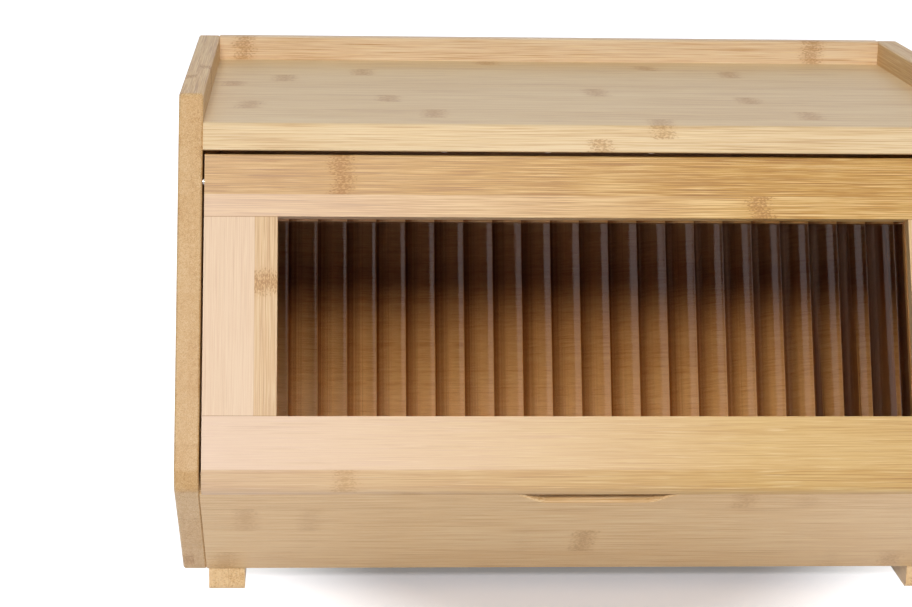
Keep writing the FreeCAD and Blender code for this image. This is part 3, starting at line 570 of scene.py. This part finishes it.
def reededSheet(name, look):
    # a closed sheet whose face is a row of arcs. At each point across, the face lies back from the
    # reed's crest by radius - sqrt(radius^2 - offset^2), with offset from the middle of its reed, and
    # a little less near the roots; the back is flat. The loop round the sheet is swept up the slope in
    # equal rows, and its two ends are closed with quads.
    (left, right), (low, high), (front, _) = sheetSpan(name)
    pitch, rise, root = look["pitch"] * mm, look["rise"] * mm, look["root"] * mm
    back = front + look["thickness"] * mm
    radius = (pitch ** 2 / 4 + rise ** 2) / (2 * rise)
    count = int((right - left) / pitch * look["steps"]) + 1
    across = np.linspace(left, right, count)
    offset = (across + pitch / 2) % pitch - pitch / 2
    arc = radius - np.sqrt(radius ** 2 - offset ** 2)
    fillet = np.clip(1 - (pitch / 2 - np.abs(offset)) / root, 0, 1) ** 2
    face = front + arc - fillet * root * look["fill"]
    up = np.linspace(low, high, look["rows"])
    loopX = np.concatenate([across, across[::-1]])
    loopIn = np.concatenate([face, np.full(count, back)])
    ring = 2 * count
    points = (loopX[None, :, None] * np.array(axisX) + loopIn[None, :, None] * np.array(doorIn)
              + up[:, None, None] * np.array(doorUp)).reshape(-1, 3)
    here = np.arange(ring)
    after = (here + 1) % ring
    rows = np.arange(look["rows"] - 1)[:, None] * ring
    walls = np.stack([rows + here, rows + after, rows + ring + after, rows + ring + here], axis=-1)
    i = np.arange(count - 1)
    foot = np.stack([i, ring - 1 - i, ring - 2 - i, i + 1], axis=-1)
    head = foot[:, ::-1] + (look["rows"] - 1) * ring
    quads = np.concatenate([walls.reshape(-1, 4), foot, head])
    mesh = bpy.data.meshes.new("reeded_sheet")
    mesh.from_pydata(points.tolist(), [], quads.tolist())
    mesh.shade_smooth()
    mesh.set_sharp_from_angle(angle=radians(look["sharp"]))
    mesh.update()
    sheet = bpy.data.objects.new("reeded_sheet", mesh)
    bpy.context.scene.collection.objects.link(sheet)
    return sheet


# Clear acrylic (PMMA), extruded with reeds on its face and flame polished. Eye: each reed bends what is
# behind it into an upright streak and carries one thin bright line; faint lines of the die along it.
# A darker colour is painted on one flank of each reed, by its place across the reed: painted shade, so
# that the reeds read as rounded. A real clear sheet has one colour all over.
acrylicLook = {
    "tint": "#F8EAD6",
    "deep": "#96693C",          # the painted flank
    "flank": (0.5, -7.0),       # mm from the reed's middle, from clear to deepest
    "waver": 6.0,               # mm by which the die's lines shift that tint
    "roughness": (0.01, 0.035),
    "roughLines": (0.3, 0.7),   # levels of the die's lines that have those two
    "dieWidth": 0.7,            # mm between the die's lines, drawn coarse
    "dieLength": 260.0,         # mm
    "gloss": 0.5,
    "ior": 1.49,
    "bump": 0.2,
    "bumpDepth": 0.0001,        # m
    "bare": "#FAF2EA",          # what light loses at each face on its way in
}


def clearAcrylic(label, look):
    material, tree = newMaterial(label)
    place = add(tree, "TexCoord", output="Object")
    across, up = (add(tree, "VectorMath", {0: place, 1: [v / mm for v in axis]}, output="Value",
                      operation="DOT_PRODUCT") for axis in (axisX, doorUp))
    spot = add(tree, "CombineXYZ", {
        "X": add(tree, "Math", {0: across, 1: look["dieWidth"]}, operation="DIVIDE"),
        "Y": add(tree, "Math", {0: up, 1: look["dieLength"]}, operation="DIVIDE")})
    lines = add(tree, "TexNoise", {"Vector": spot, "Scale": 1.0, "Detail": 3.0})
    rough = add(tree, "MapRange", {
        "Value": lines, "From Min": look["roughLines"][0], "From Max": look["roughLines"][1],
        "To Min": look["roughness"][0], "To Max": look["roughness"][1]})
    normal = add(tree, "Bump", {"Strength": look["bump"], "Distance": look["bumpDepth"], "Height": lines})
    # the flank's painted shade: mm from the reed's middle, shifted a little by the die's lines
    half = reedLook["pitch"] / 2
    flank = add(tree, "Math", {0: across, 1: half, 2: -half}, operation="WRAP")
    flank = add(tree, "Math", {0: lines, 1: look["waver"], 2: flank}, operation="MULTIPLY_ADD")
    flank = add(tree, "Math", {0: flank, 1: look["waver"] * noiseMiddle}, operation="SUBTRACT")
    flank = add(tree, "MapRange", {"Value": flank, "From Min": look["flank"][0],
                                   "From Max": look["flank"][1]})
    colour = add(tree, "Mix", {0: flank, 6: shade(look["tint"]), 7: shade(look["deep"])}, output=2,
                 data_type="RGBA")
    clear = add(tree, "BsdfPrincipled", {
        "Base Color": colour, "Roughness": rough, "IOR": look["ior"], "Transmission Weight": 1.0,
        "Specular IOR Level": look["gloss"], "Normal": normal})
    # lamps' rays and soft light go straight through, so that the inside is lit
    path = add(tree, "LightPath").node.outputs
    through = add(tree, "Math", {0: path["Is Shadow Ray"], 1: path["Is Diffuse Ray"]},
                  operation="MAXIMUM")
    bare = add(tree, "BsdfTransparent", {"Color": shade(look["bare"])})
    surface = add(tree, "MixShader", {0: through, 1: clear, 2: bare})
    add(tree, "OutputMaterial", {"Surface": surface})
    return material


sheet = reededSheet("window_panel", reedLook)
sheet.data.materials.append(clearAcrylic("clearAcrylic", acrylicLook))
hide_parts("window_panel")
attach(sheet, "door")
print("stage: reeded window,", len(sheet.data.polygons), "faces")

# Floor, world and lamps
floorLook = {
    "size": 9.0,             # m
    "colour": "#E8EDFC",
    "white": "#F0F8FF",      # colour of its glow near the object
    "glow": 0.18,            # strength there, where the object's shadow falls
    "fadeFrom": 0.10,        # m from the middle; from here the floor fades to the backdrop's white
    "fadeTo": 0.20,
}
# place and size in m, power in W
lampLook = {
    "key": dict(place=(-0.25, -0.85, 2.02), size=(0.9, 0.6), power=9.5, colour="#FFFAF4"),
    "fill": dict(place=(-0.10, -1.96, 1.065), size=(0.8, 0.23), power=25.0, colour="#FFF8F2"),
    "side": dict(place=(1.22, -1.81, 1.61), size=(0.62, 1.0), power=2.3, colour="#FFF0F0"),
}
worldLook = {
    "colour": "#F8F8FF",
    "seen": "#FFFFFF",       # for rays from the camera
    "front": 0.02,           # strength on the near side, which keeps the door's sheen low
    "back": 0.52,            # strength on the far side
    "turn": (-0.25, 0.35),   # share of a direction's way back at which one gives way to the other
}


def seenByEye(tree):
    # 1 for rays from the camera, from mirrors and through glass
    path = add(tree, "LightPath").node.outputs
    both = add(tree, "Math", {0: path["Is Camera Ray"], 1: path["Is Glossy Ray"]}, operation="MAXIMUM")
    return add(tree, "Math", {0: both, 1: path["Is Transmission Ray"]}, operation="MAXIMUM")


def makeFloor(look):
    half = look["size"] / 2
    mesh = bpy.data.meshes.new("floor")
    corners = [(-half, -half, 0), (half, -half, 0), (half, half, 0), (-half, half, 0)]
    mesh.from_pydata(corners, [], [(0, 1, 2, 3)])
    floor = bpy.data.objects.new("floor", mesh)
    bpy.context.scene.collection.objects.link(floor)
    material, tree = newMaterial("paleFloor")
    matt = add(tree, "BsdfDiffuse", {"Color": shade(look["colour"])})
    away = add(tree, "VectorMath", {0: add(tree, "TexCoord", output="Object")}, output="Value",
               operation="LENGTH")
    glow = add(tree, "MapRange", {"Value": away, "From Min": look["fadeFrom"], "From Max": look["fadeTo"],
                                  "To Min": look["glow"], "To Max": 1.0},
               interpolation_type="SMOOTHSTEP")
    glow = add(tree, "Math", {0: seenByEye(tree), 1: glow}, operation="MULTIPLY")
    fade = add(tree, "MapRange", {"Value": away, "From Min": look["fadeFrom"],
                                  "From Max": look["fadeTo"]})
    tint = add(tree, "Mix", {0: fade, 6: shade(look["white"]), 7: (1, 1, 1, 1)}, output=2,
               data_type="RGBA")
    shine = add(tree, "Emission", {"Color": tint, "Strength": glow})
    add(tree, "OutputMaterial", {"Surface": add(tree, "AddShader", {0: matt, 1: shine})})
    floor.data.materials.append(material)


def lightWorld(look):
    # a white backdrop behind the object and a dim room on the near side
    world = bpy.data.worlds.new("studio")
    bpy.context.scene.world = world
    world.use_nodes = True
    tree = world.node_tree
    tree.nodes.clear()
    way = add(tree, "SeparateXYZ", {0: add(tree, "TexCoord", output="Generated")}, output="Y")
    behind = add(tree, "MapRange", {"Value": way, "From Min": look["turn"][0],
                                    "From Max": look["turn"][1]})
    soft = add(tree, "MapRange", {"Value": behind, "To Min": look["front"], "To Max": look["back"]})
    bright = add(tree, "MapRange", {"Value": behind, "To Min": look["front"], "To Max": 1.0})
    path = add(tree, "LightPath").node.outputs
    mirrored = add(tree, "Math", {0: path["Is Glossy Ray"], 1: path["Is Transmission Ray"]},
                   operation="MAXIMUM")
    strength = add(tree, "Mix", {0: mirrored, 2: soft, 3: bright})
    strength = add(tree, "Math", {0: strength, 1: path["Is Camera Ray"]}, operation="MAXIMUM")
    colour = add(tree, "Mix", {0: path["Is Camera Ray"], 6: shade(look["colour"]), 7: shade(look["seen"])},
                 output=2, data_type="RGBA")
    back = add(tree, "Background", {"Color": colour, "Strength": strength})
    add(tree, "OutputWorld", {"Surface": back})


def hangLamp(name, look, target):
    data = bpy.data.lights.new(name, "AREA")
    data.shape = "RECTANGLE"
    data.size, data.size_y = look["size"]
    data.energy = look["power"]
    data.color = shade(look["colour"])[:3]
    lamp = bpy.data.objects.new(name, data)
    lamp.location = look["place"]
    lamp.rotation_euler = (Vector(target) - lamp.location).to_track_quat("-Z", "Y").to_euler()
    bpy.context.scene.collection.objects.link(lamp)


makeFloor(floorLook)
lightWorld(worldLook)
middle = [(lo + hi) / 2 for lo, hi in zip(*cadBox)]
for name, look in lampLook.items():
    hangLamp(name, look, middle)
bpy.context.scene.view_settings.view_transform = "Standard"
print("stage: floor, world and lamps")
